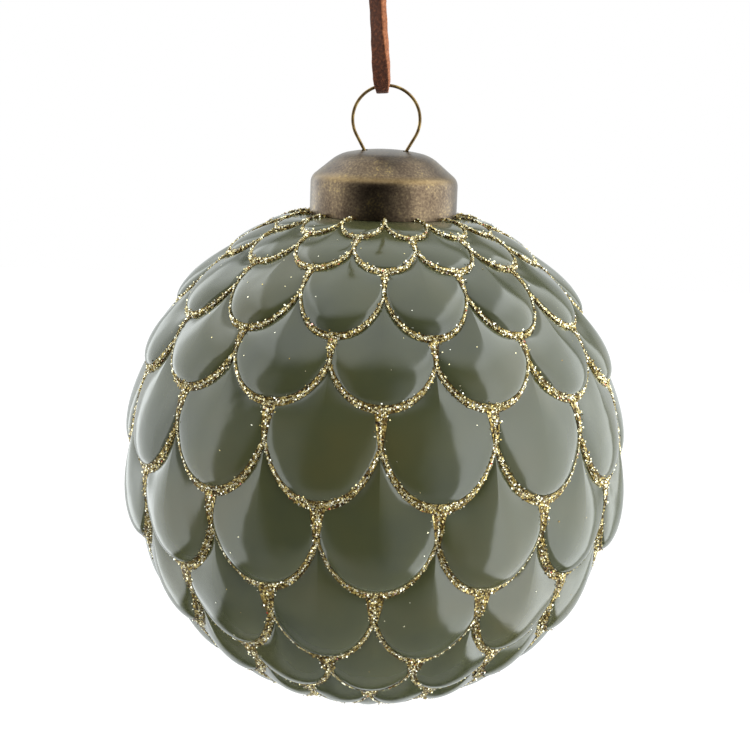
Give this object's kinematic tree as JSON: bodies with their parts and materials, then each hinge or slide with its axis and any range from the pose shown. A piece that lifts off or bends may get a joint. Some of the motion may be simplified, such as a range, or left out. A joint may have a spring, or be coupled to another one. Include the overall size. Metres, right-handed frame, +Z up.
{
  "type": "glass bauble",
  "caption": "Blown glass ball ornament pressed into overlapping scales, gold glitter in the grooves, antique brass cap, wire ring and a brown suede hanging lace.",
  "frame": {"origin": "The inside top of the wire ring, on the ball's axis, where the bauble hangs from its lace.", "axes": "+Z up along the ball's axis through the ring, +X along the ring's plane to the right in the picture, -Y towards the viewer."},
  "size_m": [0.0808, 0.081, 0.1597],
  "materials": {
    "sage_glass": "opaque sage green glass, glossy",
    "gold_glitter": "pale gold glitter set in clear glue",
    "antique_brass": "darkened antique brass, satin",
    "bronze_wire": "dark bronzed wire",
    "brown_suede": "soft napped suede, cut edges lighter"
  },
  "bodies": {
    "root": {"glass_ball": "sage_glass", "glitter_lines": "gold_glitter", "cap": "antique_brass", "hanger_wire": "bronze_wire", "suede_lace": "brown_suede", "lace_knot": "brown_suede"}
  },
  "joints": []
}
